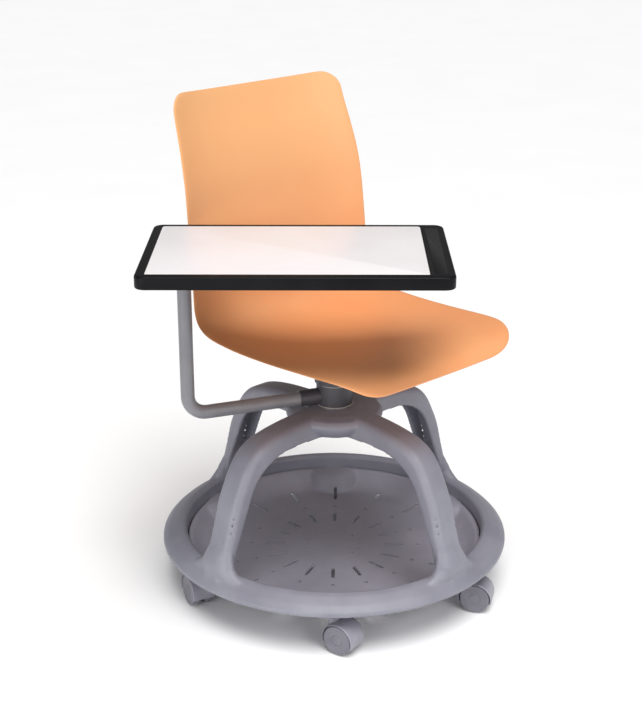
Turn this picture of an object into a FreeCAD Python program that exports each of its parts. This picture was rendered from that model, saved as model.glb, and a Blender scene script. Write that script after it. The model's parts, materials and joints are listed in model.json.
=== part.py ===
import FreeCAD, Part
import math
import os
import re

import Sketcher
from FreeCAD import Placement, Rotation, Vector

# Student desk chair on six casters: a ring base with four arched legs and a bag tray,
# a one-piece shell seat that swivels on a central spindle, and a writing tablet on an
# arm that swings about the same spindle.
#
# Frame: +Z up, origin on the floor under the spindle, -Y towards the front of the
# tablet, +X to the right along the tablet's long edge. Millimetres and degrees.

doc = FreeCAD.newDocument("StudentDeskChair")

SIZES = {
    # base ring, a hollow rim that is open below
    "ring_radius": 300.0, "ring_inner_radius": 258.0, "ring_wall": 4.0,
    "ring_bottom": 76.0, "ring_top": 105.0, "ring_shoulder": 84.0, "ring_inner_bottom": 60.0,
    "ledge_radius": 238.0, "ledge_thickness": 3.0,
    # arched legs and the hub they meet in
    "leg_azimuth": 45.0, "leg_width": 50.0, "leg_wall": 5.0, "leg_edge_radius": 12.0,
    "arch_top": 319.0, "arch_under": 282.0, "hub_radius": 46.0, "hub_bottom": 279.0,
    # bag tray
    "tray_floor": 50.0, "tray_floor_radius": 214.0, "tray_thickness": 3.0, "tray_radius": 257.0,
    "tray_step": 66.0, "tray_rim": 80.0, "well_radius": 54.0, "well_top_radius": 46.0,
    "well_top": 81.0, "slot_count": 16.0, "slot_turn": -1.0,
    "inner_slot_at": 105.0, "inner_slot_length": 35.0, "outer_slot_at": 198.0,
    "outer_slot_length": 40.0, "slot_width": 6.0, "dot_at": 147.0, "dot_radius": 3.5,
    "pin_hole_at": 46.0, "pin_hole_radius": 1.5,
    # casters
    "caster_count": 6.0, "caster_at": 260.0, "caster_trail": 16.0, "wheel_radius": 26.5,
    "wheel_width": 15.0, "hood_radius": 28.3, "hood_wall": 1.3, "hood_width": 40.0,
    "web_thickness": 8.0, "axle_radius": 3.0, "stem_radius": 5.5, "socket_radius": 8.0,
    "boss_radius": 14.0, "boss_top": 77.5, "running_gap": 0.05, "stem_foot": 50.0,
    # spindle stack
    "spindle_radius": 15.0, "flange_radius": 32.0, "flange_thickness": 3.0,
    "spindle_top": 412.0, "bush_wall": 3.0, "washer_thickness": 2.0, "gap": 0.4,
    "collar_radius": 31.0, "collar_height": 36.0, "seat_hub_radius": 34.0,
    "collar_low": 324.0, "seat_hub_low": 362.0, "seat_hub_top": 426.0,
    "seat_shoulder_top": 416.0, "screw_radius": 5.0,
    # arm
    "post_x": -241.0, "post_y": -92.0, "tube_radius": 11.5, "tube_wall": 2.0,
    "arm_height": 338.0, "bend_radius": 32.0, "post_top": 616.0,
    "clamp_radius": 13.9, "clamp_start": 22.0, "clamp_end": 64.0, "tube_start": 36.0,
    "clamp_screw_radius": 3.0,
    # tablet
    "tablet_left": -288.0, "tablet_front": -337.0, "tablet_length": 459.0,
    "tablet_depth": 279.5, "tablet_thickness": 20.0, "tablet_top": 652.0,
    "tablet_corner": 16.0, "tablet_edge": 4.0, "surface_thickness": 3.0,
    "border_left": 14.5, "border_right": 37.0, "border_front": 14.0, "border_back": 10.5,
    "bracket_size": 74.0, "bracket_thickness": 5.7, "pivot_radius": 8.0,
    "bracket_screw_at": 27.0, "bracket_screw_radius": 2.5, "panel_corner": 5.0,
    # seat shell
    "seat_azimuth": 43.0, "shell_thickness": 5.0, "plate_size": 190.0, "plate_thickness": 4.0,
    "spacer_radius": 13.0, "spacer_at": 70.0, "spacer_height": 13.0, "seat_screw_radius": 3.0,
    "plate_corner": 20.0,
}

sheet = doc.addObject("Spreadsheet::Sheet", "Sizes")
for row, (alias, value) in enumerate(SIZES.items(), start=1):
    sheet.set(f"A{row}", alias)
    sheet.set(f"B{row}", str(value))
    sheet.setAlias(f"B{row}", alias)
doc.recompute()


def size(alias):
    """A driving dimension, as the sheet holds it."""
    return float(sheet.get(alias))


def bound(expression):
    """The expression with each bare alias pointed at the sheet."""
    return re.sub(r"[a-z_]+", lambda word: "Sizes." + word[0] if word[0] in SIZES else word[0],
                  str(expression))


# ---------------------------------------------------------------- building helpers

def solid(kind, name, at=(0, 0, 0), turn=None, **sizes):
    """A Part primitive whose sizes and place are expressions on the sheet."""
    piece = doc.addObject("Part::" + kind, name)
    for prop, expression in sizes.items():
        piece.setExpression(prop, bound(expression))
    if turn is not None:
        piece.Placement.Rotation = turn
    for axis, expression in zip("xyz", at):
        if expression != 0:
            piece.setExpression("Placement.Base." + axis, bound(expression))
    return piece


def cut(name, base, *tools):
    """base with every tool taken away."""
    tool = tools[0] if len(tools) == 1 else fuse(name + "_tools", *tools)
    piece = doc.addObject("Part::Cut", name)
    piece.Base, piece.Tool = base, tool
    return piece


def fuse(name, *shapes):
    piece = doc.addObject("Part::MultiFuse", name)
    piece.Shapes = list(shapes)
    piece.Refine = True
    return piece


def common(name, *shapes):
    piece = doc.addObject("Part::MultiCommon", name)
    piece.Shapes = list(shapes)
    return piece


def tube(name, outer, inner, low, high, at=(0, 0)):
    """A round sleeve between two heights."""
    place = (at[0], at[1], low)
    height = f"{high} - ({low})"
    body = solid("Cylinder", name + "_outside", place, Radius=outer, Height=height)
    bore = solid("Cylinder", name + "_bore", place, Radius=inner, Height=height)
    return cut(name, body, bore)


def rounded(name, base, radius, chosen):
    """base with the edges that chosen() picks rounded to a radius."""
    doc.recompute()
    piece = doc.addObject("Part::Fillet", name)
    piece.Base = base
    numbers = [n for n, edge in enumerate(base.Shape.Edges, start=1) if chosen(edge)]
    piece.Edges = [(n, size(radius), size(radius)) for n in numbers]
    return piece


def upright(edge):
    """True for a straight edge that runs along Z."""
    return edge.Length > 0.1 and abs(abs(edge.tangentAt(edge.FirstParameter).z) - 1) < 1e-6


def placed(piece, placement):
    piece.Placement = placement.multiply(piece.Placement)
    return piece


def plane(body, role):
    return next(item for item in body.Origin.OriginFeatures if item.Role == role)


def outline(body, name, points, role="XZ_Plane"):
    """A closed polygon sketch whose corners are expressions on the sheet."""
    sketch = body.newObject("Sketcher::SketchObject", name)
    sketch.AttachmentSupport = [(plane(body, role), "")]
    sketch.MapMode = "FlatFace"
    count = len(points)
    start = [Vector(math.cos(2 * math.pi * i / count), math.sin(2 * math.pi * i / count), 0)
             for i in range(count)]
    for i in range(count):
        sketch.addGeometry(Part.LineSegment(start[i], start[(i + 1) % count]))
    for i in range(count):
        sketch.addConstraint(Sketcher.Constraint("Coincident", i, 2, (i + 1) % count, 1))
    for i, point in enumerate(points):
        for kind, other_axis, expression in (("DistanceX", -2, point[0]),
                                             ("DistanceY", -1, point[1])):
            if str(expression) == "0":
                sketch.addConstraint(Sketcher.Constraint("PointOnObject", i, 1, other_axis))
            else:
                number = sketch.addConstraint(Sketcher.Constraint(kind, -1, 1, i, 1, 1.0))
                sketch.setExpression(f"Constraints[{number}]", bound(expression))
    return sketch


def turned(name, points):
    """A turned piece: a polygon of (radius, height) corners revolved about Z."""
    body = doc.addObject("PartDesign::Body", name)
    sketch = outline(body, name + "_profile", points)
    revolution = body.newObject("PartDesign::Revolution", name + "_turn")
    revolution.Profile = sketch
    revolution.ReferenceAxis = (sketch, ["V_Axis"])
    revolution.Angle = 360
    return body


SUB_PARTS = []


def sub_part(label, piece):
    """Gives a finished piece the name it is known by."""
    piece.Label = label
    SUB_PARTS.append(piece)
    return piece


def around(count, start=0.0):
    """Evenly spaced azimuths in degrees."""
    return [start + 360.0 * i / count for i in range(int(count))]


def polar(radius, azimuth, height=0.0):
    angle = math.radians(azimuth)
    return Vector(radius * math.cos(angle), radius * math.sin(angle), height)


CASTER_AZIMUTHS = around(size("caster_count"), start=-90.0)
# the way each caster happens to trail, as an azimuth
CASTER_HEADINGS = [-33.0, -15.0, 40.0, 75.0, 165.0, 116.0]


def at_casters(name, **cylinder):
    """One cylinder on each caster's stem axis, from height low to height high."""
    low, high, radius = cylinder["low"], cylinder["high"], cylinder["radius"]
    pieces = []
    for number, azimuth in enumerate(CASTER_AZIMUTHS, start=1):
        place = [f"caster_at * {part(math.radians(azimuth)):.9f}" for part in (math.cos, math.sin)]
        pieces.append(solid("Cylinder", f"{name}_{number}", (*place, low), Radius=radius,
                            Height=f"{high} - ({low})"))
    return pieces


# ---------------------------------------------------------------- base frame

def ring():
    """The rim: a rounded channel, open below, with an inner wall that holds the tray."""
    wall = "ring_wall"
    body = turned("ring", [
        ("ring_radius", "ring_bottom"), ("ring_radius", "ring_shoulder"),
        ("ring_radius - 10", "ring_shoulder + 9"), ("ring_radius - 26", "ring_top - 3"),
        ("ring_inner_radius + 6", "ring_top"), ("ring_inner_radius", "ring_top - 5"),
        ("ring_inner_radius", "ring_inner_bottom"),
        (f"ring_inner_radius + {wall}", "ring_inner_bottom"),
        (f"ring_inner_radius + {wall}", f"ring_top - 2 * {wall}"),
        (f"ring_inner_radius + 8", f"ring_top - {wall} - 1"),
        (f"ring_radius - 28", f"ring_top - {wall} - 3"),
        (f"ring_radius - 13", f"ring_shoulder + 9 - {wall}"),
        (f"ring_radius - {wall}", "ring_shoulder - 2.5"), (f"ring_radius - {wall}", "ring_bottom"),
    ])
    return body


def spline_edge(points):
    curve = Part.BSplineCurve()
    curve.interpolate([Vector(x, 0, z) for x, z in points])
    return curve.toShape()


def leg_outline(name, outer, inner):
    """A closed outline in the leg's own plane, between an outer and an inner curve."""
    first, last = spline_edge(outer), spline_edge(inner)
    ends = [Part.LineSegment(Vector(a[0], 0, a[1]), Vector(b[0], 0, b[1])).toShape()
            for a, b in ((outer[-1], inner[-1]), (inner[0], outer[0]))]
    piece = doc.addObject("Part::Feature", name)
    piece.Shape = Part.Face(Part.Wire([first, ends[0], last, ends[1]]))
    return piece


def leg_blank():
    """One arched leg along +X: flat over the hub, a round shoulder, then down to the rim."""
    top, under, rim = size("arch_top"), size("arch_under"), size("ring_radius")
    foot = size("ring_top")
    start = size("hub_radius") - 9
    outer = [(start, top), (70, top), (120, top - 3), (160, top - 9), (194, top - 21),
             (217, top - 42), (233, top - 69), (248, top - 101), (262, top - 148),
             (274, foot + 28), (rim - 8, foot - 16)]
    inner = [(start, under - 1), (60, under), (110, under + 1), (150, under - 3), (180, under - 16),
             (204, under - 38), (221, under - 72), (238, under - 114), (250, under - 145),
             (rim - 42, foot - 16)]
    wall = size("leg_wall")
    channel_outer = [(62, top - wall)] + [(x - wall * 0.6, z - wall) for x, z in outer[2:-2]]
    channel_inner = [(62, under - 20), (150, under - 24), (196, foot + 60), (222, foot + 20)]
    widths = {"leg_solid": ("leg_width", leg_outline("leg_side", outer, inner)),
              "leg_channel": ("leg_width - 2 * leg_wall",
                              leg_outline("channel_side", channel_outer, channel_inner))}
    slabs = []
    for name, (width, face) in widths.items():
        slab = doc.addObject("Part::Extrusion", name)
        slab.Base, slab.DirMode, slab.Dir = face, "Custom", Vector(0, 1, 0)
        slab.Symmetric, slab.Solid = True, True
        slab.setExpression("LengthFwd", bound(width))
        slabs.append(slab)
    ridge = rounded("leg_rounded", slabs[0], "leg_edge_radius", outer_ridge)
    return cut("leg_blank", ridge, slabs[1])


def outer_ridge(edge):
    """The two long curved edges on the outer side of a leg."""
    return edge.Length > 300 and edge.BoundBox.ZMax > size("arch_top") - 1


def mirrored(name, source, normal):
    piece = doc.addObject("Part::Mirroring", name)
    piece.Source, piece.Normal = source, normal
    return piece


def base_frame():
    leg = placed(leg_blank(), Placement(Vector(), Rotation(Vector(0, 0, 1), size("leg_azimuth"))))
    pair = fuse("leg_pair", leg, mirrored("leg_across", leg, Vector(1, 0, 0)))
    legs = fuse("legs", pair, mirrored("legs_front", pair, Vector(0, 1, 0)))
    hub = solid("Cylinder", "hub", (0, 0, "hub_bottom"), Radius="hub_radius",
                Height="arch_top + 1 - hub_bottom")
    ledge = tube("ledge_ring", "ring_inner_radius + 1", "ledge_radius", "ring_inner_bottom",
                 "ring_inner_bottom + ledge_thickness")
    ledge = cut("ledge", ledge, *at_casters("ledge_gap", radius="well_radius + 2",
                                            low="ring_inner_bottom - 5", high="tray_step + 9"))
    bosses = at_casters("stem_boss", radius="boss_radius", low="ring_inner_bottom + 3",
                        high="boss_top")
    ribs = []
    for number, azimuth in enumerate(CASTER_AZIMUTHS, start=1):
        rib = solid("Box", f"rim_rib_{number}", Length="ring_radius - ring_inner_radius - 11",
                    Width="ring_wall", Height="ring_shoulder - ring_bottom + 3")
        turn = Rotation(Vector(0, 0, 1), azimuth)
        corner = Vector(size("ring_inner_radius") + 2, -size("ring_wall") / 2,
                        size("ring_bottom") + 3)
        rib.Placement = Placement(turn.multVec(corner), turn)
        ribs.append(rib)
    whole = fuse("base_whole", ring(), legs, hub, ledge, *bosses, *ribs)
    spindle_seat = solid("Cylinder", "spindle_seat", (0, 0, "hub_bottom - 5"),
                         Radius="spindle_radius", Height=80)
    seats = at_casters("socket_seat", radius="socket_radius", low="ring_inner_bottom",
                       high="boss_top - 2.5")
    return sub_part("base_frame", cut("frame", whole, spindle_seat, *seats))


# ---------------------------------------------------------------- bag tray

def tray_fill(name, drop):
    """Everything under the tray's upper face, or under its lower face when drop is set."""
    side = f"{drop}" if drop else "0"
    return turned(name, [
        ("0", "tray_floor - 40"), ("0", f"tray_floor - {side}"),
        (f"tray_floor_radius + {side} * 0.6", f"tray_floor - {side}"),
        (f"tray_floor_radius + 12 + {side} * 0.6", f"tray_step - {side}"),
        (f"tray_radius - 15 + {side} * 0.6", f"tray_step - {side}"),
        (f"tray_radius - 7 + {side} * 0.6", f"tray_rim - {side}"),
        ("tray_radius", f"tray_rim - {side}"), ("tray_radius", "tray_floor - 40"),
    ])


def wells(name, drop):
    """The six bumps that leave each caster room to swivel."""
    pieces = []
    for number, azimuth in enumerate(CASTER_AZIMUTHS, start=1):
        place = [f"caster_at * {part(math.radians(azimuth)):.9f}" for part in (math.cos, math.sin)]
        pieces.append(solid("Cone", f"{name}_{number}", (*place, "tray_floor - 40"),
                            Radius1=f"well_radius + 4 - {drop}", Radius2=f"well_top_radius - {drop}",
                            Height=f"well_top - tray_floor + 40 - {drop}"))
    return pieces


def perforation():
    """Radial slots, dots and pin holes through the tray's floor."""
    low, high = size("tray_floor") - 20, size("tray_floor") + 20
    half = size("slot_width") / 2
    holes = []
    for azimuth in around(size("slot_count"), start=90.0 + size("slot_turn")):
        for middle, length in ((size("inner_slot_at"), size("inner_slot_length")),
                               (size("outer_slot_at"), size("outer_slot_length"))):
            reach = length / 2 - half
            bar = Part.makeBox(2 * reach, 2 * half, high - low, Vector(middle - reach, -half, low))
            ends = [Part.makeCylinder(half, high - low, Vector(x, 0, low))
                    for x in (middle - reach, middle + reach)]
            slot = bar.fuse(ends).removeSplitter()
            slot.rotate(Vector(), Vector(0, 0, 1), azimuth)
            holes.append(slot)
        for middle, radius in ((size("dot_at"), size("dot_radius")),
                               (size("pin_hole_at"), size("pin_hole_radius"))):
            holes.append(Part.makeCylinder(radius, high - low, polar(middle, azimuth, low)))
    piece = doc.addObject("Part::Feature", "perforation")
    piece.Shape = Part.Compound(holes)
    return piece


def bag_tray():
    above = fuse("tray_above", tray_fill("tray_upper", ""), *wells("well_outside", "0"))
    below = fuse("tray_below", tray_fill("tray_lower", "tray_thickness"),
                 *wells("well_inside", "tray_thickness"))
    limit = solid("Cylinder", "tray_limit", Radius="tray_radius", Height=200)
    shell = cut("tray_shell", common("tray_round", above, limit), below)
    return sub_part("bag_tray", cut("tray", shell, perforation()))


# ---------------------------------------------------------------- casters

def caster_fittings():
    """Sleeves pressed into the rim's bosses, and the stems that stand in them."""
    bottom, top = "ring_inner_bottom + 3", "boss_top - 2.5"
    sleeves = [cut(f"sleeve_{number}", outer, inner) for number, (outer, inner) in enumerate(zip(
        at_casters("sleeve_outside", radius="socket_radius", low=bottom, high=top),
        at_casters("sleeve_bore", radius="stem_radius", low=bottom, high=top)), start=1)]
    sub_part("caster_sockets", compound("sockets", sleeves))
    stems = at_casters("stem", radius="stem_radius", low="stem_foot", high=top)
    collars = at_casters("stem_collar", radius="socket_radius", low=f"{bottom} - 2", high=bottom)
    pairs = [fuse(f"stem_whole_{number}", stem, collar)
             for number, (stem, collar) in enumerate(zip(stems, collars), start=1)]
    sub_part("caster_stems", compound("stems", pairs))


def compound(name, pieces):
    group = doc.addObject("Part::Compound", name)
    group.Links = pieces
    return group


def caster(number, azimuth, heading):
    """One twin-wheel caster. Its own frame has the stem at the origin and trails along +X."""
    where = Placement(polar(size("caster_at"), azimuth), Rotation(Vector(0, 0, 1), heading))
    name = f"caster_{number}"
    centre = ("caster_trail", "wheel_radius")
    across = Rotation(Vector(1, 0, 0), -90)

    def disc(label, radius, width):
        """A disc on the axle line."""
        return solid("Cylinder", f"{name}_{label}", (centre[0], f"-({width}) / 2", centre[1]),
                     turn=across, Radius=radius, Height=width)

    cover = cut(f"{name}_cover", disc("cover_outside", "hood_radius", "hood_width"),
                disc("cover_inside", "hood_radius - hood_wall", "hood_width + 2"))
    web = disc("web", "hood_radius - 0.5", "web_thickness")
    round_boss = solid("Cylinder", f"{name}_round_boss", (0, 0, "wheel_radius + 8"),
                       Radius="stem_radius + 4",
                       Height="ring_inner_bottom - 0.6 - wheel_radius - 8")
    wheel_space = cut(f"{name}_wheel_space",
                      disc("space", "hood_radius - hood_wall", "hood_width - 1"),
                      disc("space_web", "hood_radius + 1", "web_thickness"))
    boss = cut(f"{name}_boss", round_boss, wheel_space)
    floor_cut = solid("Box", f"{name}_open_side", ("-hood_radius - 5", "-hood_width", -10),
                      Length="2 * hood_radius + caster_trail + 12", Width="2 * hood_width",
                      Height="wheel_radius + 1")
    hub = disc("axle_hub", "axle_radius + 5", "web_thickness")
    shell = fuse(f"{name}_blank", cut(f"{name}_upper", fuse(f"{name}_round", cover, web), floor_cut),
                 boss, hub)
    bore = solid("Cylinder", f"{name}_stem_bore", (0, 0, "stem_foot - 1"),
                 Radius="stem_radius + running_gap", Height=40)
    axle_bore = disc("axle_bore", "axle_radius", "hood_width")
    sub_part(f"{name}_body", placed(cut(f"{name}_hood", shell, bore, axle_bore), where))
    pin = compound(f"{name}_pin", [disc("rod", "axle_radius", "hood_width - 5")])
    sub_part(f"{name}_axle", placed(pin, where))
    for side, sign in (("left", 1), ("right", -1)):
        wheel = caster_wheel(f"{name}_wheel_{side}")
        outward = Rotation(Vector(1, 0, 0), -90 * sign)
        offset = (size("web_thickness") / 2 + size("gap")) * sign
        wheel.Placement = where.multiply(Placement(
            Vector(size("caster_trail"), offset, size("wheel_radius")), outward))
        sub_part(f"{name}_wheel_{side}", wheel)


def caster_wheel(name):
    """A turned wheel about +Z, its inner face at height 0 and a shallow dish outside."""
    bore, rim, width = "axle_radius + running_gap", "wheel_radius", "wheel_width"
    return turned(name, [
        (bore, "0"), (f"{rim} - 1.5", "0"), (rim, "1.5"), (rim, f"{width} - 3"),
        (f"{rim} - 0.9", f"{width} - 0.9"), (f"{rim} - 3", width), (f"{rim} - 5", width),
        (f"{rim} - 6.5", f"{width} - 1.2"), ("axle_radius + 6", f"{width} - 0.6"),
        ("axle_radius + 3", f"{width} - 0.2"), ("0", f"{width} - 0.2"),
        ("0", f"{width} - 1.6"), (bore, f"{width} - 1.6"),
    ])


def casters():
    for number, (azimuth, heading) in enumerate(zip(CASTER_AZIMUTHS, CASTER_HEADINGS), start=1):
        caster(number, azimuth, heading)


# ---------------------------------------------------------------- spindle and swivel

def spindle_stack():
    """The fixed spindle, its bolt below the hub and the retaining screw on its top."""
    flange_low = "arch_top + 1"
    bar = turned("spindle_turned", [
        ("0", "hub_bottom"), ("spindle_radius", "hub_bottom"), ("spindle_radius", flange_low),
        ("flange_radius", flange_low), ("flange_radius", f"{flange_low} + flange_thickness"),
        ("spindle_radius", f"{flange_low} + flange_thickness"), ("spindle_radius", "spindle_top"),
        ("0", "spindle_top"),
    ])
    holes = [solid("Cylinder", "bolt_hole", (0, 0, "hub_bottom"), Radius="screw_radius", Height=30),
             solid("Cylinder", "top_hole", (0, 0, "spindle_top - 20"), Radius="screw_radius",
                   Height=20)]
    sub_part("swivel_spindle", cut("spindle", bar, *holes))
    sub_part("spindle_washer", tube("lower_washer", "spindle_radius + 4", "screw_radius",
                                    "hub_bottom - washer_thickness", "hub_bottom"))
    sub_part("spindle_bolt", bolt("lower_bolt", 0, 0, "hub_bottom - washer_thickness", 8, 28, 6,
                                  up=True))
    top = "seat_shoulder_top + gap"
    sub_part("retaining_washer", tube("upper_washer", "spindle_radius + 4", "screw_radius",
                                      top, f"{top} + washer_thickness"))
    sub_part("retaining_screw", bolt("upper_screw", 0, 0, f"{top} + washer_thickness", 8, 20, 4.5,
                                     up=False))
    height = "collar_low - gap / 2"
    sub_part("thrust_washer", tube("lower_thrust", "flange_radius", "spindle_radius + running_gap",
                                   f"{flange_low} + flange_thickness", height))


def bolt(name, x, y, face, head_radius, shank_length, head_height, up, shank="screw_radius"):
    """A hexagon-headed screw whose head bears on a face; up is the way its shank points."""
    head = doc.addObject("Part::Prism", name + "_head")
    head.Polygon = 6
    head.Circumradius = head_radius
    head.Height = head_height
    low = f"{face} - {head_height}" if up else face
    shank_low = face if up else f"{face} - {shank_length}"
    for axis, expression in (("x", x), ("y", y), ("z", low)):
        head.setExpression("Placement.Base." + axis, bound(expression))
    stem = solid("Cylinder", name + "_shank", (x, y, shank_low), Radius=shank, Height=shank_length)
    return fuse(name, head, stem)


# ---------------------------------------------------------------- arm

def arm_placement():
    """The arm's own frame: +X runs from the spindle towards the post."""
    azimuth = math.degrees(math.atan2(size("post_y"), size("post_x")))
    return Placement(Vector(), Rotation(Vector(0, 0, 1), azimuth))


def arm():
    reach = math.hypot(size("post_x"), size("post_y"))
    along = Rotation(Vector(0, 1, 0), 90)
    hub = solid("Cylinder", "collar_round", (0, 0, "collar_low"), Radius="collar_radius",
                Height="collar_height")
    clamp = solid("Cylinder", "clamp_round", ("clamp_start", 0, "arm_height"), turn=along,
                  Radius="clamp_radius", Height="clamp_end - clamp_start")
    bore = solid("Cylinder", "collar_bore", (0, 0, "collar_low"),
                 Radius="spindle_radius + bush_wall", Height="collar_height")
    tube_bore = solid("Cylinder", "clamp_bore", ("tube_start", 0, "arm_height"), turn=along,
                      Radius="tube_radius", Height="clamp_end")
    screw_at = "(tube_start + clamp_end) / 2"
    screw_hole = solid("Cylinder", "clamp_screw_hole", (screw_at, 0, "arm_height - 30"),
                       Radius="clamp_screw_radius", Height=30)
    sub_part("arm_collar", placed(cut("collar", fuse("collar_blank", hub, clamp), bore, tube_bore,
                                      screw_hole), arm_placement()))
    screw = bolt("clamp_screw_whole", screw_at, 0, "arm_height - clamp_radius", 5,
                 size("clamp_radius") - size("tube_radius"), 3, up=True, shank="clamp_screw_radius")
    sub_part("clamp_screw", placed(screw, arm_placement()))
    sub_part("arm_bush", tube("arm_sleeve", "spindle_radius + bush_wall",
                              "spindle_radius + running_gap", "collar_low",
                              "collar_low + collar_height"))
    sub_part("arm_tube", placed(arm_tube(reach), arm_placement()))
    bush = turned("pivot_sleeve", [
        ("pivot_radius + running_gap", "post_top - 60"), ("tube_radius - tube_wall", "post_top - 60"),
        ("tube_radius - tube_wall", "post_top"), ("tube_radius + 1", "post_top"),
        ("tube_radius + 1", "post_top + 2.5"), ("pivot_radius + running_gap", "post_top + 2.5"),
    ])
    bush.setExpression("Placement.Base.x", bound("post_x"))
    bush.setExpression("Placement.Base.y", bound("post_y"))
    sub_part("pivot_bush", bush)


def arm_tube(reach):
    """The bent tube: level from the clamp, one bend, then up the post."""
    bend, level = size("bend_radius"), size("arm_height")
    start, top = size("tube_start"), size("post_top")
    corner = Vector(reach - bend, 0, level)
    rise = Vector(reach, 0, level + bend)
    centre = Vector(reach - bend, 0, level + bend)
    middle = centre + Vector(bend * math.sin(math.pi / 4), 0, -bend * math.cos(math.pi / 4))
    path = doc.addObject("Part::Feature", "tube_path")
    path.Shape = Part.Wire([Part.LineSegment(Vector(start, 0, level), corner).toShape(),
                            Part.Arc(corner, middle, rise).toShape(),
                            Part.LineSegment(rise, Vector(reach, 0, top)).toShape()])
    sweeps = []
    for label, radius in (("outside", "tube_radius"), ("inside", "tube_radius - tube_wall")):
        circle = doc.addObject("Part::Circle", "tube_circle_" + label)
        circle.setExpression("Radius", bound(radius))
        circle.Placement = Placement(Vector(start, 0, level), Rotation(Vector(0, 1, 0), 90))
        sweep = doc.addObject("Part::Sweep", "tube_" + label)
        sweep.Sections, sweep.Spine, sweep.Solid = [circle], (path, []), True
        sweeps.append(sweep)
    return cut("tube", *sweeps)


# ---------------------------------------------------------------- writing tablet

def slab(name, left, front, low, length, depth, height):
    """A box with one corner at (left, front, low)."""
    return solid("Box", name, (left, front, low), Length=length, Width=depth, Height=height)


def tablet():
    under = "tablet_top - tablet_thickness"
    blank = rounded("tablet_rounded", slab("tablet_blank", "tablet_left", "tablet_front", under,
                                           "tablet_length", "tablet_depth", "tablet_thickness"),
                    "tablet_corner", upright)
    blank = rounded("tablet_edged", blank, "tablet_edge",
                    lambda edge: edge.BoundBox.ZMin > size("tablet_top") - 0.1)
    surface = ("tablet_left + border_left", "tablet_front + border_front",
               "tablet_length - border_left - border_right",
               "tablet_depth - border_front - border_back")
    inlay = ("tablet_left + tablet_length - border_right + 6", "tablet_front + border_front + 4",
             "border_right - 16", "tablet_depth - border_front - border_back - 8")
    low = "tablet_top - surface_thickness"
    recess = slab("surface_recess", surface[0], surface[1], low, surface[2], surface[3], 20)
    band = slab("inlay_recess", inlay[0], inlay[1], "tablet_top - 1.5", inlay[2], inlay[3], 20)
    cavity_left = "post_x + bracket_size / 2 + 8"
    cavity = ("tablet_front + 8", "tablet_left + tablet_length - 8", "tablet_depth - 16")
    hollow = slab("underside_hollow", cavity_left, cavity[0], under,
                  f"{cavity[1]} - ({cavity_left})", cavity[2],
                  "tablet_thickness - surface_thickness - 4")
    holes = bracket_points("bracket_hole", under, 12)
    sub_part("tablet_frame", cut("frame_of_tablet", blank, recess, band, hollow, *holes))
    trim = "gap / 2"
    top = slab("writing_panel", f"{surface[0]} + {trim}", f"{surface[1]} + {trim}", low,
               f"{surface[2]} - gap", f"{surface[3]} - gap", "surface_thickness - 0.3")
    sub_part("tablet_surface", rounded("writing_panel_rounded", top, "panel_corner", upright))
    sub_part("tablet_inlay", slab("inlay_strip", f"{inlay[0]} + {trim}", f"{inlay[1]} + {trim}",
                                  "tablet_top - 1.5", f"{inlay[2]} - gap", f"{inlay[3]} - gap", 1.2))
    sub_part("tablet_cover", slab("underside_plate", f"{cavity_left} + {trim}",
                                  f"{cavity[0]} + {trim}", f"{under} + 0.5",
                                  f"{cavity[1]} - ({cavity_left}) - gap", f"{cavity[2]} - gap", 3))


def bracket_points(name, low, height, radius="bracket_screw_radius"):
    """Four cylinders on the bracket's screw axes."""
    return [solid("Cylinder", f"{name}_{i}{j}", (f"post_x + {i} * bracket_screw_at",
                                                 f"post_y + {j} * bracket_screw_at", low),
                  Radius=radius, Height=height) for i in (-1, 1) for j in (-1, 1)]


def tablet_bracket():
    under = "tablet_top - tablet_thickness"
    half = "bracket_size / 2"
    plate = rounded("bracket_rounded", slab("bracket_plate", f"post_x - {half}", f"post_y - {half}",
                                            f"{under} - bracket_thickness", "bracket_size",
                                            "bracket_size", "bracket_thickness"),
                    "tablet_corner", upright)
    pin = solid("Cylinder", "pivot_pin", ("post_x", "post_y", "post_top - 58"),
                Radius="pivot_radius", Height=f"{under} - post_top + 57")
    boss = solid("Cylinder", "pivot_boss", ("post_x", "post_y", "post_top + 2.5 + gap"),
                 Radius="tube_radius + 1", Height=f"{under} - post_top - 2.5 - gap - 1")
    holes = bracket_points("bracket_bore", f"{under} - 20", 40)
    sub_part("tablet_bracket", cut("bracket", fuse("bracket_blank", plate, pin, boss), *holes))
    screws = [bolt(f"bracket_screw_{i}{j}", f"post_x + {i} * bracket_screw_at",
                   f"post_y + {j} * bracket_screw_at", f"{under} - bracket_thickness", 4.5, 16, 3,
                   up=True, shank="bracket_screw_radius") for i in (-1, 1) for j in (-1, 1)]
    sub_part("bracket_screws", compound("bracket_screw_set", screws))


# ---------------------------------------------------------------- seat

def seat_turn():
    return Placement(Vector(), Rotation(Vector(0, 0, 1), size("seat_azimuth")))


def smooth_curve(knots):
    """A smooth curve through (station, value, ...) rows, as a function of the station."""
    curve = Part.BSplineCurve()
    curve.interpolate(Points=[Vector(*row[1:], row[0]) if len(row) == 3 else
                              Vector(row[1], 0, row[0]) for row in knots],
                      Parameters=[row[0] for row in knots])
    return lambda station: Vector(curve.value(station).x, curve.value(station).y)


# side view of the shell's upper face on its centre line: (station, forward -Y, height)
SHELL_PROFILE = [
    (0, -242, 439), (22, -227, 453), (49, -201, 460), (107, -143, 459), (178, -73, 451),
    (251, 0, 446), (296, 45, 447), (347, 95, 457), (384, 127, 476), (421, 147, 508),
    (494, 157, 580), (570, 165, 655), (615, 171, 700), (681, 190, 763), (714, 203, 793),
    (764, 216, 841),
]
# half width at each station, before the corners are rounded
SHELL_HALF_WIDTH = [(0, 202), (107, 207), (251, 208), (347, 205), (384, 202), (421, 199),
                    (494, 197), (570, 195.5), (615, 193), (681, 187), (714, 184), (764, 183)]
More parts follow.
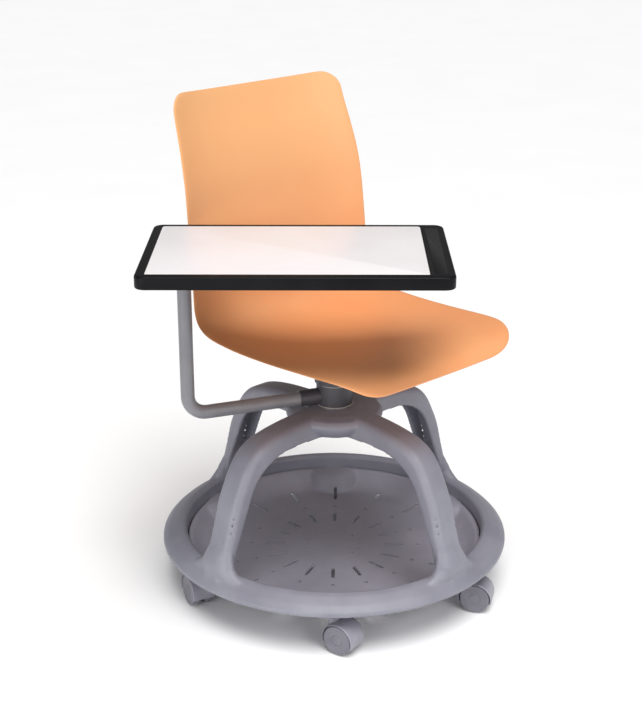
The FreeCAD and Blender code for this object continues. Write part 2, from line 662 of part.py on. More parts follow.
# how far the side edges stand up from the seat, or forward of the back
SHELL_DISH = [(0, 14), (107, 13), (178, 17), (251, 20), (296, 20), (347, 15), (384, 16), (421, 26),
              (494, 29), (570, 29), (615, 28), (681, 28), (714, 30), (764, 31)]
FRONT_CORNER, TOP_CORNER = 80.0, 36.0
BACK_START, BACK_FULL = 330.0, 480.0


def shell_stations(length):
    """Stations along the profile, closer together around the rounded corners."""
    front = [FRONT_CORNER * (1 - math.cos(math.pi / 2 * i / 6)) for i in range(7)]
    top = [length - TOP_CORNER * (1 - math.cos(math.pi / 2 * i / 6)) for i in range(7)]
    middle = [FRONT_CORNER + (length - FRONT_CORNER - TOP_CORNER) * i / 20 for i in range(1, 20)]
    return front + middle + top[::-1]


def shell_half_width(station, length, curve):
    """Half width, drawn in along a quarter circle at the front and top corners."""
    half = curve(station).x
    for reach, corner in ((station, FRONT_CORNER), (length - station, TOP_CORNER)):
        if reach < corner:
            half -= corner - math.sqrt(max(corner ** 2 - (corner - reach) ** 2, 0.0))
    return half


def seat_shell():
    """The one-piece shell, skinned over its profile, half widths and dish."""
    length = SHELL_PROFILE[-1][0]
    profile = smooth_curve(SHELL_PROFILE)
    width, dish = smooth_curve(SHELL_HALF_WIDTH), smooth_curve(SHELL_DISH)
    upper, lower = [], []
    across = [i / 6 for i in range(-6, 7)]
    for station in shell_stations(length):
        point = profile(station)
        step = 1.0
        tangent = (profile(min(station + step, length)) - profile(max(station - step, 0))).normalize()
        normal = Vector(-tangent.y, tangent.x)
        half, lift = shell_half_width(station, length, width), dish(station).x
        full = width(station).x
        blend = min(max((station - BACK_START) / (BACK_FULL - BACK_START), 0.0), 1.0)
        power = 2.4 + blend
        rows = ([], [])
        for fraction in across:
            rise = lift * abs(half * fraction / full) ** power
            centre = Vector(point.x, point.y) + normal * rise
            for row, depth in zip(rows, (0.0, size("shell_thickness"))):
                flat = centre - normal * depth
                row.append(Vector(half * fraction, flat.x, flat.y))
        upper.append(rows[0])
        lower.append(rows[1])
    faces = []
    for grid in (upper, lower):
        surface = Part.BSplineSurface()
        surface.interpolate(grid)
        faces.append(surface.toShape())
    for one, other in zip(faces[0].Edges, faces[1].Edges):
        faces.append(Part.makeRuledSurface(one, other))
    shell = Part.Shell(faces)
    shell.sewShape()
    skin = Part.Solid(shell)
    if skin.Volume < 0:
        skin.reverse()
    piece = doc.addObject("Part::Feature", "shell")
    piece.Shape = skin
    return sub_part("seat_shell", placed(piece, seat_turn()))


def seat_mount():
    """Hub, bush, plate, spacers and screws between the spindle and the shell."""
    hub = turned("seat_hub_turned", [
        ("spindle_radius + bush_wall", "seat_hub_low"), ("seat_hub_radius", "seat_hub_low"),
        ("seat_hub_radius", "seat_hub_top"), ("spindle_radius + 6", "seat_hub_top"),
        ("spindle_radius + 6", "seat_shoulder_top"), ("screw_radius + 1", "seat_shoulder_top"),
        ("screw_radius + 1", "spindle_top + gap"),
        ("spindle_radius + bush_wall", "spindle_top + gap"),
    ])
    sub_part("seat_hub", hub)
    sub_part("seat_bush", tube("seat_sleeve", "spindle_radius + bush_wall",
                               "spindle_radius + running_gap", "seat_hub_low", "spindle_top"))
    sub_part("upper_thrust_washer", tube("upper_thrust", "collar_radius",
                                         "spindle_radius + running_gap",
                                         "collar_low + collar_height + gap / 2",
                                         "seat_hub_low - gap / 2"))
    half = "plate_size / 2"
    plate = rounded("plate_rounded", slab("plate_blank", f"-{half}", f"-{half}", "seat_hub_top",
                                          "plate_size", "plate_size", "plate_thickness"),
                    "plate_corner", upright)
    holes = seat_points("plate_hole", "seat_hub_top - 1", "plate_thickness + 2", "seat_screw_radius")
    relief = solid("Cylinder", "plate_centre_hole", (0, 0, "seat_hub_top - 1"),
                   Radius="spindle_radius + 6", Height="plate_thickness + 2")
    sub_part("seat_plate", placed(cut("plate", plate, relief, *holes), seat_turn()))
    low = "seat_hub_top + plate_thickness"
    outside = seat_points("spacer_outside", low, "spacer_height", "spacer_radius")
    inside = seat_points("spacer_bore", low, "spacer_height", "seat_screw_radius")
    spacers = [cut(f"spacer_{n}", *pair) for n, pair in enumerate(zip(outside, inside), start=1)]
    sub_part("seat_spacers", placed(compound("spacers", spacers), seat_turn()))
    screws = [bolt(f"seat_screw_{i}{j}", f"{i} * spacer_at", f"{j} * spacer_at", "seat_hub_top",
                   6, size("plate_thickness") + size("spacer_height"), 3.5, up=True,
                   shank="seat_screw_radius") for i in (-1, 1) for j in (-1, 1)]
    sub_part("seat_screws", placed(compound("seat_screw_set", screws), seat_turn()))


def seat_points(name, low, height, radius):
    """Four cylinders on the seat plate's screw axes."""
    return [solid("Cylinder", f"{name}_{i}{j}", (f"{i} * spacer_at", f"{j} * spacer_at", low),
                  Radius=radius, Height=height) for i in (-1, 1) for j in (-1, 1)]


# ---------------------------------------------------------------- the whole chair

def check_document():
    """Stops if anything failed to compute, or a sub-part is not a sound set of solids."""
    failed = [item.Name for item in doc.Objects if {"Invalid", "Error"} & set(item.State)]
    if failed:
        raise RuntimeError("failed objects: " + ", ".join(failed))
    for piece in SUB_PARTS:
        shape = piece.Shape
        if shape.isNull() or not shape.isValid() or not shape.Solids or shape.Volume <= 0:
            raise RuntimeError("unsound sub-part: " + piece.Label)


base_frame()
bag_tray()
caster_fittings()
casters()
spindle_stack()
arm()
tablet()
tablet_bracket()
seat_shell()
seat_mount()
doc.recompute()
check_document()
os.makedirs("parts", exist_ok=True)
for piece in SUB_PARTS:
    piece.Shape.exportStep(f"parts/{piece.Label}.step")
    print(f"{piece.Label}: {len(piece.Shape.Solids)} solids, {piece.Shape.Volume / 1000:.1f} cm3")
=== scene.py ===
import json
import math

import bpy
import bmesh
from mathutils import Matrix, Vector


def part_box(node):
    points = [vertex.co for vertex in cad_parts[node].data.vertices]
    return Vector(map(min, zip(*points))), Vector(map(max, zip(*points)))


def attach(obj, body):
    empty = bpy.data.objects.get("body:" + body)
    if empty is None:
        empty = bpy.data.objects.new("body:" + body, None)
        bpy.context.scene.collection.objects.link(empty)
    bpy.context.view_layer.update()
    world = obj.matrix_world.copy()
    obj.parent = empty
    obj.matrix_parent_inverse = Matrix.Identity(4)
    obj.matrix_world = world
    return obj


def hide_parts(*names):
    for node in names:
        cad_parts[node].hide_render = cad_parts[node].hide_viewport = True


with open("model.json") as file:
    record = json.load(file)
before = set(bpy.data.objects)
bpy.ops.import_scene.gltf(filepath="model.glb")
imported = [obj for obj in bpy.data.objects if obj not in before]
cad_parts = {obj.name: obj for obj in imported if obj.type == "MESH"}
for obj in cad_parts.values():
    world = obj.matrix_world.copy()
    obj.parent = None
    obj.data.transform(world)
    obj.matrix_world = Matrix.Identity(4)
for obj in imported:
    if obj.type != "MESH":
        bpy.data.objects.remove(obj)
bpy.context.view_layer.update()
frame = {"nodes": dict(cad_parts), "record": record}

# Student desk chair: a moulded shell seat on a swivel, a nylon ring base with four arched
# legs, a perforated bag tray and six twin-wheel casters, and a laminate writing tablet on a
# bent steel arm. Metres throughout; Z is up and the tablet's long edge lies along X.

NODES = frame["nodes"]
UP = Vector((0, 0, 1))

# ---------------------------------------------------------------- sizes

HUB_TOP = 0.319
LEG_AZIMUTHS = (45, 135, 225, 315)
# a leg's spread into the rim: height, half width across, radius of its middle, half depth
FLARE_ROWS = (
    (0.162, 0.0060, 0.256, 0.003), (0.152, 0.0180, 0.259, 0.008),
    (0.138, 0.0265, 0.264, 0.012), (0.126, 0.0300, 0.268, 0.014),
    (0.116, 0.0355, 0.271, 0.0155), (0.108, 0.0440, 0.2725, 0.0155),
    (0.102, 0.0560, 0.273, 0.0145), (0.097, 0.0700, 0.2735, 0.0125),
    (0.091, 0.0850, 0.2735, 0.010),
)
# the tray's upper face as radius and height, and a well's about its caster's stem
TRAY_FACE = (
    (0, 0.050), (0.205, 0.050), (0.215, 0.0514), (0.225, 0.0552), (0.234, 0.0614),
    (0.2415, 0.0695), (0.2475, 0.0770), (0.2515, 0.0795), (0.257, 0.0797),
)
WELL_FACE = (
    (0, 0.0806), (0.026, 0.0804), (0.036, 0.0792), (0.0435, 0.0758), (0.0485, 0.0700),
    (0.0525, 0.0620), (0.056, 0.0540), (0.060, 0.0480), (0.066, 0.0420),
)
# the bowl under the hub, as radius and height
HUB_BOWL = (
    (0, 0.2755), (0.028, 0.2756), (0.044, 0.2772), (0.058, 0.2816), (0.070, 0.2890),
    (0.079, 0.2985), (0.083, 0.3075), (0.077, 0.3150), (0.060, HUB_TOP), (0, HUB_TOP),
)
RIM_CLEAR = 0.118   # above this height there are only legs and hub
TRAY_THICK, TRAY_RADIUS = 0.003, 0.257
SLOT_COUNT, SLOT_TURN, SLOT_WIDTH = 16, -1, 0.006
SLOT_ROWS = ((0.105, 0.035), (0.198, 0.040))
HOLE_ROWS = ((0.147, 0.0035), (0.046, 0.0015))

WHEEL_RADIUS, WHEEL_WIDTH, WHEEL_OFFSET = 0.0265, 0.015, 0.0044
HOOD_RADIUS, HOOD_WIDTH, HOOD_WALL, WEB = 0.0283, 0.040, 0.0013, 0.008
HOOD_LOW, BOSS_LOW, BOSS_TOP = 0.018, 0.034, 0.0593
CASTER_AT, CASTER_TRAIL, STEM_RADIUS = 0.260, 0.016, 0.0055
CASTER_AZIMUTHS = (-90, -30, 30, 90, 150, 210)
CASTER_HEADINGS = (-33, -15, 40, 75, 165, 116)

POST = Vector((-0.241, -0.092, 0))
TUBE_RADIUS, TUBE_LEVEL, TUBE_BEND, TUBE_TOP, TUBE_START = 0.0115, 0.338, 0.032, 0.616, 0.036
ARM_AZIMUTH = math.atan2(POST.y, POST.x)

TABLET_LEFT, TABLET_FRONT, TABLET_LENGTH, TABLET_DEPTH = -0.288, -0.337, 0.459, 0.2795
TABLET_TOP, TABLET_THICK, TABLET_CORNER = 0.652, 0.020, 0.016
BORDER_LEFT, BORDER_RIGHT, BORDER_FRONT, BORDER_BACK = 0.0145, 0.037, 0.014, 0.0105
PANEL_THICK, SEAM = 0.003, 0.0002

SEAT_AZIMUTH, SHELL_THICK = math.radians(43), 0.005
# the shell's upper face on its centre line: distance along it, backward, height
SHELL_PROFILE = (
    (0, -0.242, 0.439), (0.022, -0.227, 0.453), (0.049, -0.201, 0.460), (0.107, -0.143, 0.459),
    (0.178, -0.073, 0.451), (0.251, 0, 0.446), (0.296, 0.045, 0.447), (0.347, 0.095, 0.457),
    (0.384, 0.127, 0.476), (0.421, 0.147, 0.508), (0.494, 0.157, 0.580), (0.570, 0.165, 0.655),
    (0.615, 0.171, 0.700), (0.681, 0.190, 0.763), (0.714, 0.203, 0.793), (0.764, 0.2155, 0.8392),
)
SHELL_HALF_WIDTH = ((0, 0.202), (0.107, 0.207), (0.251, 0.208), (0.347, 0.205), (0.384, 0.202),
                    (0.421, 0.199), (0.494, 0.197), (0.570, 0.1955), (0.615, 0.193),
                    (0.681, 0.187), (0.714, 0.184), (0.764, 0.183))
# how far the side edges stand up from the seat, or forward of the back
SHELL_DISH = ((0, 0.014), (0.107, 0.013), (0.178, 0.017), (0.251, 0.020), (0.296, 0.020),
              (0.347, 0.015), (0.384, 0.016), (0.421, 0.026), (0.494, 0.029), (0.570, 0.029),
              (0.615, 0.028), (0.681, 0.028), (0.714, 0.030), (0.764, 0.031))
FRONT_CORNER, TOP_CORNER = 0.080, 0.036
# where along the shell the seat's dish starts to turn into the back's, and where it has
BACK_START, BACK_FULL = 0.330, 0.480
SEAT_DISH_POWER, SHELL_COLUMNS = 2.4, 14

# ---------------------------------------------------------------- materials


def srgb(colour):
    """A hex colour, such as "8A8792", as linear red, green, blue and alpha."""
    channels = [int(colour[i:i + 2], 16) / 255 for i in (0, 2, 4)]
    return tuple(c / 12.92 if c <= 0.04045 else ((c + 0.055) / 1.055) ** 2.4
                 for c in channels) + (1.0,)


def add_node(material, kind, settings=None, **sockets):
    """Adds a shader node. Settings are its properties; sockets take a value or another output."""
    tree = material.node_tree
    node = tree.nodes.new(kind)
    for name, value in (settings or {}).items():
        setattr(node, name, value)
    for name, value in sockets.items():
        socket = next(s for s in node.inputs if s.identifier == name or
                      s.name.replace(" ", "_") == name)
        if isinstance(value, bpy.types.NodeSocket):
            tree.links.new(value, socket)
        else:
            socket.default_value = value
    return node


def ramp(node, *stops):
    """Sets a colour ramp's stops, as (place, colour) pairs."""
    elements = node.color_ramp.elements
    while len(elements) < len(stops):
        elements.new(0.5)
    for element, (place, colour) in zip(elements, stops):
        element.position, element.color = place, colour
    return node


def surface(name, low, high, roughness, ior=1.5, mottle=90, grain=0.9, depth=0.05,
            gloss_change=0.06, metallic=0.0, specular=0.5, painted_top_light=None):
    """A finish from its two near colours, its gloss and the size of its grain in millimetres.

    The last argument paints light by height: a low height, a high height and the paler colour
    painted at the high one, standing in for the light on the upper part.
    """
    material = bpy.data.materials.new(name)
    material.use_nodes = True
    material.node_tree.nodes.clear()
    place = add_node(material, "ShaderNodeTexCoord").outputs["Object"]
    # slow drift of tone across a moulding or a coat
    drift = add_node(material, "ShaderNodeTexNoise", Vector=place, Scale=1000 / mottle,
                     Detail=3.0, Roughness=0.55)
    # fine speckle, drawn coarse enough to be seen
    speck = add_node(material, "ShaderNodeTexNoise", Vector=place, Scale=1000 / (grain * 1.6),
                     Detail=2.0, Roughness=0.6)
    tone = add_node(material, "ShaderNodeMath", {"operation": "MULTIPLY_ADD"},
                    Value=speck.outputs["Fac"], Value_001=0.25, Value_002=drift.outputs["Fac"])
    colour = ramp(add_node(material, "ShaderNodeValToRGB", Fac=tone.outputs["Value"]),
                  (0.42, srgb(low)), (0.86, srgb(high))).outputs["Color"]
    if painted_top_light:
        # painted light: the colour turns slowly paler between two heights, standing in for the
        # light that falls on the upper part
        height = add_node(material, "ShaderNodeSeparateXYZ", Vector=place).outputs["Z"]
        share = add_node(material, "ShaderNodeMapRange", Value=height, From_Min=painted_top_light[0],
                         From_Max=painted_top_light[1]).outputs["Result"]
        mix = add_node(material, "ShaderNodeMix", {"data_type": "RGBA"}, Factor_Float=share,
                       A_Color=colour, B_Color=srgb(painted_top_light[2]))
        colour = next(o for o in mix.outputs if o.identifier == "Result_Color")
    shine = add_node(material, "ShaderNodeMapRange", Value=drift.outputs["Fac"],
                     From_Min=0.3, From_Max=0.7, To_Min=roughness - gloss_change / 2,
                     To_Max=roughness + gloss_change / 2)
    # the mould's or the coat's own texture
    texture = add_node(material, "ShaderNodeTexNoise", Vector=place, Scale=1000 / grain,
                       Detail=4.0, Roughness=0.65)
    bump = add_node(material, "ShaderNodeBump", Strength=depth, Distance=grain / 1000,
                    Height=texture.outputs["Fac"])
    shader = add_node(material, "ShaderNodeBsdfPrincipled", Base_Color=colour,
                      Roughness=shine.outputs["Result"], IOR=ior, Metallic=metallic,
                      Normal=bump.outputs["Normal"], Specular_IOR_Level=specular)
    add_node(material, "ShaderNodeOutputMaterial", Surface=shader.outputs["BSDF"])
    return material


# Glass-filled nylon, moulded in a spark-textured tool: even grey with a violet cast, satin.
BASE_NYLON = surface("glass_filled_nylon_moulded", "7A7A85", "898994", 0.46, 1.53, mottle=70,
                     grain=1.1, depth=0.10)
# Polypropylene tray in the same grey, a little duller because its tool is coarser.
TRAY_POLYPROPYLENE = surface("polypropylene_tray_moulded", "8C8B97", "9997A3", 0.55, 1.49,
                             mottle=80, grain=1.3, depth=0.14)
# Polypropylene shell: soft satin orange, almost even, with painted light making it paler and
# yellower towards the top of the back.
SHELL_POLYPROPYLENE = surface("polypropylene_shell_satin", "E0935E", "E5A06C", 0.50, 1.49,
                              mottle=220, grain=0.8, depth=0.05, painted_top_light=(0.50, 0.86, "E6AC76"))
# Powder-coated steel: fine orange peel over a mid grey.
POWDER_COAT = surface("powder_coated_steel", "77777C", "85858A", 0.36, 1.5, mottle=60,
                      grain=1.4, depth=0.10)
# The arm's powder coat in a darker grey for the castings at the hub: painted shade, for where they
# sit under the seat.
HUB_COAT_PAINTED_SHADE = surface("powder_coated_casting", "3E3D43", "48474D", 0.42, 1.5, mottle=50,
                    grain=1.4, depth=0.12)
# ABS tablet frame: black with a fine leather-like tool texture, satin highlights on edges.
TABLET_ABS = surface("abs_black_textured", "0B0B0E", "131316", 0.40, 1.54, mottle=60, grain=0.7,
                     depth=0.12, specular=0.10)
# The inlay strip is polished ABS, so it is deeper and glossier than the frame.
INLAY_ABS = surface("abs_black_polished", "0E0E10", "151517", 0.28, 1.54, mottle=60, grain=2.0,
                    depth=0.01, specular=0.13)
# High-pressure laminate: satin white, nearly even, under a clear melamine face.
LAMINATE = surface("high_pressure_laminate_satin", "EFEAEB", "F4F0F1", 0.34, 1.5, mottle=120,
                   grain=2.5, depth=0.01, specular=0.35)
# Nylon caster hoods and the wheels' moulded discs, in the base's grey.
CASTER_NYLON = surface("nylon_caster_moulded", "8A8893", "9896A1", 0.42, 1.53, mottle=30,
                       grain=0.8, depth=0.08)
WHEEL_NYLON = surface("nylon_wheel_moulded", "6A6871", "787680", 0.40, 1.53, mottle=25,
                      grain=0.8, depth=0.08)
# Acetal bushes: natural off-white, slightly waxy.
ACETAL = surface("acetal_natural_turned", "C9C7C0", "D6D4CE", 0.35, 1.48, mottle=20, grain=0.7,
                 depth=0.05)
# EPDM rubber spacers: matt black.
RUBBER = surface("epdm_rubber_moulded", "1C1C1D", "272728", 0.75, 1.52, mottle=15, grain=0.6,
                 depth=0.15)
# Zinc-plated steel screws and washers: pale metal with fine turning marks.
ZINC_STEEL = surface("zinc_plated_steel", "9A9B9F", "B4B5B9", 0.32, 1.5, mottle=12, grain=0.5,
                     depth=0.10, metallic=1.0)

# ---------------------------------------------------------------- modelling helpers


def editing(obj):
    """Makes obj the only selected object and opens it for editing with nothing selected."""
    if bpy.context.mode != "OBJECT":
        bpy.ops.object.mode_set(mode="OBJECT")
    bpy.ops.object.select_all(action="DESELECT")
    obj.select_set(True)
    bpy.context.view_layer.objects.active = obj
    bpy.ops.object.mode_set(mode="EDIT")
    bpy.ops.mesh.select_mode(type="VERT")
    bpy.ops.mesh.select_all(action="DESELECT")
    return bmesh.from_edit_mesh(obj.data)


def done():
    bpy.ops.object.mode_set(mode="OBJECT")


def pick(obj, mode, test):
    """Selects the vertices, edges or faces that pass a test, and nothing else."""
    bpy.ops.mesh.select_mode(type=mode)
    bpy.ops.mesh.select_all(action="DESELECT")
    mesh = bmesh.from_edit_mesh(obj.data)
    for item in {"VERT": mesh.verts, "EDGE": mesh.edges, "FACE": mesh.faces}[mode]:
        if test(item):
            item.select = True
    mesh.select_flush_mode()
    bmesh.update_edit_mesh(obj.data)


def upright(edge):
    """True for an edge that runs up a plate or a block."""
    one, other = (v.co.z for v in edge.verts)
    return abs(one - other) > 0.001


def bevel_edges(piece, test, offset, segments):
    """Rounds the edges that pass a test; the piece is open for editing."""
    pick(piece, "EDGE", test)
    bpy.ops.mesh.bevel(offset=offset, segments=segments, affect="EDGES")


def new_piece(name):
    """Names the primitive just added."""
    piece = bpy.context.view_layer.objects.active
    piece.name = piece.data.name = name
    return piece


def deselect():
    if bpy.context.mode != "OBJECT":
        bpy.ops.object.mode_set(mode="OBJECT")
    bpy.ops.object.select_all(action="DESELECT")


def settle(piece):
    """Puts a piece's place into its mesh, so its object sits at the origin."""
    deselect()
    piece.select_set(True)
    bpy.context.view_layer.objects.active = piece
    bpy.ops.object.transform_apply(location=True, rotation=True, scale=True)
    return piece


def modified(piece, kind, **settings):
    """Adds a modifier and applies it."""
    deselect()
    piece.select_set(True)
    bpy.context.view_layer.objects.active = piece
    modifier = piece.modifiers.new(kind.lower(), kind)
    for name, value in settings.items():
        setattr(modifier, name, value)
    bpy.ops.object.modifier_apply(modifier=modifier.name)
    return piece


def tidy(piece, angle=35, outward=True, merge=1e-5):
    """Merges doubles, turns faces outwards and shades smooth up to an angle."""
    editing(piece)
    bpy.ops.mesh.select_all(action="SELECT")
    bpy.ops.mesh.remove_doubles(threshold=merge)
    if outward:
        bpy.ops.mesh.normals_make_consistent(inside=False)
    done()
    bpy.ops.object.shade_smooth_by_angle(angle=math.radians(angle))
    return piece


def joined(name, pieces):
    deselect()
    for piece in pieces:
        piece.select_set(True)
    bpy.context.view_layer.objects.active = pieces[0]
    bpy.ops.object.join()
    return new_piece(name)


def copy_of(source, name):
    """A copy with its own mesh."""
    piece = source.copy()
    piece.data = source.data.copy()
    piece.name = piece.data.name = name
    bpy.context.scene.collection.objects.link(piece)
    return piece


def copy_of_node(node, name):
    """A merged copy of a CAD node's mesh, free of the frame."""
    piece = bpy.data.objects.new(name, NODES[node].data.copy())
    piece.data.name = name
    piece.data.materials.clear()
    bpy.context.scene.collection.objects.link(piece)
    editing(piece)
    bpy.ops.mesh.select_all(action="SELECT")
    bpy.ops.mesh.remove_doubles(threshold=2e-6)
    done()
    return piece


def away(base, tool):
    """base with tool's volume taken away; the tool is deleted."""
    modified(base, "BOOLEAN", operation="DIFFERENCE", object=tool, solver="EXACT")
    bpy.data.objects.remove(tool)
    return base


def joined_with(base, tool):
    modified(base, "BOOLEAN", operation="UNION", object=tool, solver="EXACT")
    bpy.data.objects.remove(tool)
    return base


def block(name, low, high):
    """A box between two corners."""
    deselect()
    low, high = Vector(low), Vector(high)
    bpy.ops.mesh.primitive_cube_add(size=1, location=(low + high) / 2)
    piece = new_piece(name)
    piece.scale = high - low
    return settle(piece)


def lathe(name, profile, centre, axis, steps=64):
    """Spins a profile of (radius, distance along the axis) points into a turned piece."""
    centre, axis = Vector(centre), Vector(axis).normalized()
    side = axis.orthogonal().normalized()
    points = [centre + side * radius + axis * along for radius, along in profile]
    deselect()
    bpy.ops.mesh.primitive_plane_add(size=0.001, location=points[0])
    piece = settle(new_piece(name))
    editing(piece)
    bpy.ops.mesh.select_all(action="SELECT")
    bpy.ops.mesh.merge(type="CENTER")
    for start, end in zip(points, points[1:]):
        bpy.ops.mesh.extrude_vertices_move(TRANSFORM_OT_translate={"value": end - start})
    bpy.ops.mesh.select_all(action="SELECT")
    bpy.ops.mesh.spin(steps=steps, angle=2 * math.pi, center=centre, axis=axis)
    done()
    return tidy(piece)


def finish(piece, body, slot, material, *nodes):
    """Gives a piece its material and its body, and hides the nodes it stands for; the slot
    argument is not used.
    """
    piece.data.materials.clear()
    piece.data.materials.append(material)
    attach(piece, body)
    if nodes:
        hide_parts(*nodes)
    return piece


def polar(radius, degrees, height=0.0):
    angle = math.radians(degrees)
    return Vector((radius * math.cos(angle), radius * math.sin(angle), height))


# ---------------------------------------------------------------- base frame and tray

def foot_flare(azimuth):
    """The spread where a leg runs out into the rim: an ellipse drawn down and widened."""
    deselect()
    bpy.ops.mesh.primitive_circle_add(vertices=56, radius=1, fill_type="NGON")
    flare = new_piece("foot_flare")
    editing(flare)
    bpy.ops.mesh.select_all(action="SELECT")
    half, centre, depth = 1.0, 0.0, 1.0
    for number, (height, next_half, next_centre, next_depth) in enumerate(FLARE_ROWS):
        if number:
            bpy.ops.mesh.extrude_region_move(TRANSFORM_OT_translate={"value": (0, 0, 0)})
        mesh = bmesh.from_edit_mesh(flare.data)
        for vert in (v for v in mesh.verts if v.select):
            vert.co = (next_centre + (vert.co.x - centre) * next_depth / depth,
                       vert.co.y * next_half / half, height)
        bmesh.update_edit_mesh(flare.data)
        half, centre, depth = next_half, next_centre, next_depth
    # each ellipse then bends round with the rim
    for vert in mesh.verts:
        vert.co.x = math.sqrt(vert.co.x ** 2 - vert.co.y ** 2)
    bmesh.update_edit_mesh(flare.data)
    done()
    flare.rotation_euler = (0, 0, math.radians(azimuth))
    return tidy(settle(flare))


def base_frame():
    """The moulded base: the CAD form with its spreads and blended corners."""
    base = copy_of_node("base_frame", "base_moulding")
    spreads = [foot_flare(azimuth) for azimuth in LEG_AZIMUTHS]
    # the bowl that blends the four legs into the hub
    spreads.append(lathe("hub_bowl", HUB_BOWL, (0, 0, 0), UP, steps=64))
    base = joined("base_moulding", [base] + spreads)
    modified(base, "REMESH", mode="VOXEL", voxel_size=0.0023, use_smooth_shade=True)
    # the legs and the hub keep their full girth through the smoothing
    editing(base)
    pick(base, "VERT", lambda v: v.co.z > RIM_CLEAR)
    bpy.ops.transform.shrink_fatten(value=0.0009)
    done()
    modified(base, "SMOOTH", factor=0.5, iterations=5)
    modified(base, "DECIMATE", ratio=0.42)
    tidy(base, angle=60, outward=False)
    finish(base, "base", "base_plastic", BASE_NYLON, "base_frame")


def under_face(name, drop, foot):
    """Everything under the tray's upper face, or under its lower face when drop is set."""
    face = [(radius, height - drop) for radius, height in TRAY_FACE]
    past = TRAY_RADIUS + 0.02
    fill = lathe(name, face + [(past, face[-1][1]), (past, foot), (0, foot)],
                 (0, 0, 0), UP, steps=128)
    well = [(max(radius - drop, 0), height - drop) for radius, height in WELL_FACE]
    well_foot = foot + 0.002
    profile = well + [(well[-1][0], well_foot), (0, well_foot)]
    for azimuth in CASTER_AZIMUTHS:
        joined_with(fill, lathe("well", profile, polar(CASTER_AT, azimuth), UP, steps=64))
    return fill


def perforation():
    """Sixteen rays of slots and round holes, as one cutting piece."""
    rays = []
    for number in range(SLOT_COUNT):
        azimuth = 90 + SLOT_TURN + 360 * number / SLOT_COUNT
        for radius, length in SLOT_ROWS:
            slot = block("slot", (radius - length / 2, -SLOT_WIDTH / 2, 0.040),
                         (radius + length / 2, SLOT_WIDTH / 2, 0.060))
            editing(slot)
            bevel_edges(slot, upright, SLOT_WIDTH * 0.48, 5)
            done()
            slot.rotation_euler = (0, 0, math.radians(azimuth))
            rays.append(settle(slot))
        for radius, hole in HOLE_ROWS:
            deselect()
            bpy.ops.mesh.primitive_cylinder_add(vertices=20, radius=hole, depth=0.02,
                                                location=polar(radius, azimuth, 0.050))
            rays.append(settle(new_piece("hole")))
    return joined("perforation", rays)


def bag_tray():
    """The perforated tray: a dished disc with six soft wells over the casters."""
    tray = under_face("tray_moulding", 0, 0.030)
    away(tray, under_face("tray_underside", TRAY_THICK, 0.020))
    edge = lathe("tray_edge", [(TRAY_RADIUS, 0.010), (0.35, 0.010), (0.35, 0.10),
                               (TRAY_RADIUS, 0.10), (TRAY_RADIUS, 0.010)],
                 (0, 0, 0), UP, steps=128)
    away(tray, edge)
    modified(tray, "REMESH", mode="VOXEL", voxel_size=0.0019, use_smooth_shade=True)
    modified(tray, "SMOOTH", factor=0.5, iterations=8)
    modified(tray, "DECIMATE", ratio=0.30)
    away(tray, perforation())
    tidy(tray, angle=60, outward=False)
    finish(tray, "base", "tray_plastic", TRAY_POLYPROPYLENE, "bag_tray")


# ---------------------------------------------------------------- casters

def caster_hood():
    """One caster's hood and web, trailing along +X from its stem at the origin."""
    centre = Vector((CASTER_TRAIL, 0, WHEEL_RADIUS))
    half = HOOD_WIDTH / 2
    hood = lathe("hood", [(0, -half), (HOOD_RADIUS - 0.0012, -half), (HOOD_RADIUS, 0.0012 - half),
                          (HOOD_RADIUS, half - 0.0012), (HOOD_RADIUS - 0.0012, half), (0, half)],
                 centre, (0, 1, 0), steps=72)
    for side in (-1, 1):
        inner, outer = WEB / 2 * side, (half + 0.002) * side
        pocket = lathe("pocket", [(0, inner), (HOOD_RADIUS - HOOD_WALL, inner),
                                  (HOOD_RADIUS - HOOD_WALL, outer), (0, outer)],
                       centre, (0, 1, 0), steps=72)
        away(hood, pocket)
    editing(hood)
    bpy.ops.mesh.select_all(action="SELECT")
    bpy.ops.mesh.bisect(plane_co=(0, 0, HOOD_LOW), plane_no=(0, 0, 1), clear_inner=True,
                        use_fill=True)
    done()
    boss_radius = STEM_RADIUS + 0.004
    boss = lathe("boss", [(0, BOSS_LOW), (boss_radius, BOSS_LOW), (boss_radius, BOSS_TOP - 0.0007),
                          (boss_radius - 0.0008, BOSS_TOP), (0, BOSS_TOP)],
                 (0, 0, 0), UP, steps=40)
    for side in (-1, 1):
        inner, outer = WEB / 2 * side, half * side
        away(boss, lathe("wheel_space", [(0, inner), (HOOD_RADIUS - HOOD_WALL, inner),
                                         (HOOD_RADIUS - HOOD_WALL, outer), (0, outer)],
                         centre, (0, 1, 0), steps=72))
    joined_with(hood, boss)
    hub = lathe("axle_hub", [(0, -WEB / 2), (0.008, -WEB / 2), (0.008, WEB / 2), (0, WEB / 2)],
                centre, (0, 1, 0), steps=40)
    joined_with(hood, hub)
    modified(hood, "BEVEL", width=0.0004, segments=2, limit_method="ANGLE",
             angle_limit=math.radians(40))
    return tidy(hood, angle=30)


def caster_wheel():
    """A wheel about +Y with its inner face at 0: tread, a narrower cover disc and its groove."""
    edge, width = WHEEL_RADIUS, WHEEL_WIDTH
    profile = [(0, 0), (0.024, 0), (edge - 0.0008, 0.0006), (edge, 0.0022), (edge, width - 0.0064),
               (edge - 0.0006, width - 0.0052), (edge - 0.0013, width - 0.0046),
               (edge - 0.0014, width - 0.0016), (edge - 0.0019, width - 0.0005),
               (edge - 0.0028, width), (edge - 0.0042, width), (edge - 0.0049, width - 0.0006),
               (edge - 0.0054, width - 0.0007), (0.0105, width - 0.0012),
               (0.0099, width - 0.0017), (0.0090, width - 0.0017), (0.0084, width - 0.0010),
               (0.003, width - 0.0008), (0, width - 0.0008)]
    return lathe("wheel", profile, (0, 0, 0), (0, 1, 0), steps=80)


